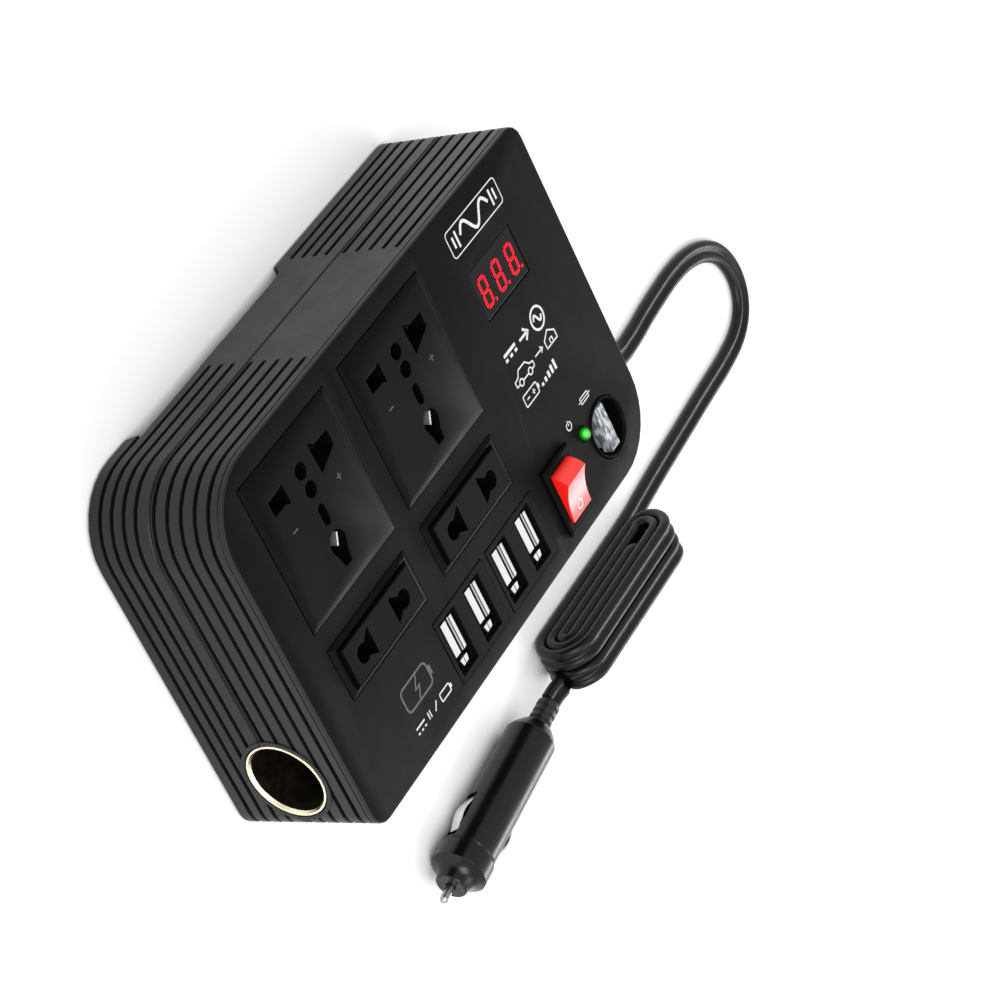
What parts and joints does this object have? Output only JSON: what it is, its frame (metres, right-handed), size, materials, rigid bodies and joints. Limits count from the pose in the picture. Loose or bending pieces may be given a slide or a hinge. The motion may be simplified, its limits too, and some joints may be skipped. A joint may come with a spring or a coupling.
{
  "type": "power inverter",
  "caption": "Flat grooved inverter with universal, two-pin and USB outlets, a lighter socket in one end, a display, a rocker switch, and a twin lead to a lighter plug.",
  "frame": {"origin": "middle of the casing's base", "axes": "+X along the panel towards the lead exit, +Y up the panel towards the vented side, +Z out of the outlet panel"},
  "size_m": [0.2966, 0.179, 0.051],
  "materials": {
    "case_black": "fine spark-eroded texture, satin black ABS",
    "socket_black": "smooth black plastic",
    "brass": "stamped brass",
    "steel": "plated steel",
    "nickel": "nickel plate",
    "white_plastic": "white moulded plastic",
    "red_rocker": "translucent red, glossy",
    "green_led": "green epoxy lens",
    "clear_fuse": "clear polycarbonate",
    "display_smoke": "smoked acrylic window",
    "display_red": "red seven-segment module",
    "board_green": "solder resist",
    "ferrite": "sintered ferrite, matt",
    "copper": "enamelled copper wire",
    "aluminium": "extruded",
    "sleeve": "shrink sleeve",
    "flex_pvc": "black PVC flex, slight sheen"
  },
  "bodies": {
    "inverter": {"casing_top": "case_black", "casing_bottom": "case_black", "case_screw_1": "steel", "case_screw_2": "steel", "case_screw_3": "steel", "case_screw_4": "steel", "socket_plate_left": "socket_black", "socket_plate_right": "socket_black", "socket_body_left": "socket_black", "socket_body_right": "socket_black", "contact_live_left": "brass", "contact_live_right": "brass", "contact_neutral_left": "brass", "contact_neutral_right": "brass", "contact_earth_left": "brass", "contact_earth_right": "brass", "two_pin_left": "socket_black", "two_pin_right": "socket_black", "two_pin_contact_left_left": "brass", "two_pin_contact_left_right": "brass", "two_pin_contact_right_left": "brass", "two_pin_contact_right_right": "brass", "usb_bezel_left": "socket_black", "usb_bezel_right": "socket_black", "usb_shell_1": "nickel", "usb_shell_2": "nickel", "usb_shell_3": "nickel", "usb_shell_4": "nickel", "usb_tongue_1": "white_plastic", "usb_tongue_2": "white_plastic", "usb_tongue_3": "white_plastic", "usb_tongue_4": "white_plastic", "display_window": "display_smoke", "display_module": "display_red", "rocker_frame": "socket_black", "power_led": "green_led", "fuse_well": "socket_black", "lighter_liner": "brass", "lighter_insulator": "socket_black", "lighter_contact": "brass", "main_board": "board_green", "transformer_core": "ferrite", "transformer_winding": "copper", "heatsink": "aluminium", "capacitor": "sleeve", "fan_frame": "socket_black", "cord_gland": "flex_pvc", "cord_lead": "flex_pvc", "cord_hank": "flex_pvc", "cord_tail": "flex_pvc", "plug_strain_relief": "flex_pvc", "plug_body": "case_black", "plug_nose": "case_black"},
    "rocker": {"rocker": "red_rocker"},
    "output_fuse": {"fuse_body": "clear_fuse", "fuse_element": "steel"},
    "plug_pin": {"plug_tip": "nickel"},
    "left_plug_contact": {"plug_spring_left": "nickel"},
    "right_plug_contact": {"plug_spring_right": "nickel"},
    "fan": {"fan_rotor": "socket_black"}
  },
  "joints": [
    {"name": "rocker_tilt", "type": "hinge", "parent": "inverter", "child": "rocker", "pos_m": [0.0377, -0.038, 0.0445], "axis": [-1, 0, 0], "range_deg": [0, 33]},
    {"name": "fuse_pull", "type": "slide", "parent": "inverter", "child": "output_fuse", "axis": [0, 0, 1], "range_m": [0, 0.022]},
    {"name": "plug_pin_push", "type": "slide", "parent": "inverter", "child": "plug_pin", "axis": [0.9945, 0.1045, 0], "range_m": [0, 0.004], "stiffness_N_per_m": 400, "springref_m": -0.002},
    {"name": "left_contact_flex", "type": "hinge", "parent": "inverter", "child": "left_plug_contact", "pos_m": [-0.02261, -0.12213, 0.01147], "axis": [-0.0442, 0.4203, 0.9063], "range_deg": [0, 6], "stiffness_Nm_per_rad": 0.03, "springref_deg": -2.86},
    {"name": "right_contact_flex", "type": "hinge", "parent": "inverter", "child": "right_plug_contact", "pos_m": [-0.0239, -0.10988, 0.00573], "axis": [0.0442, -0.4203, -0.9063], "range_deg": [0, 6], "stiffness_Nm_per_rad": 0.03, "springref_deg": -2.86},
    {"name": "fan_spin", "type": "hinge", "parent": "inverter", "child": "fan", "pos_m": [0.052, 0.0422, 0.0234], "axis": [0, 1, 0], "continuous": true}
  ]
}
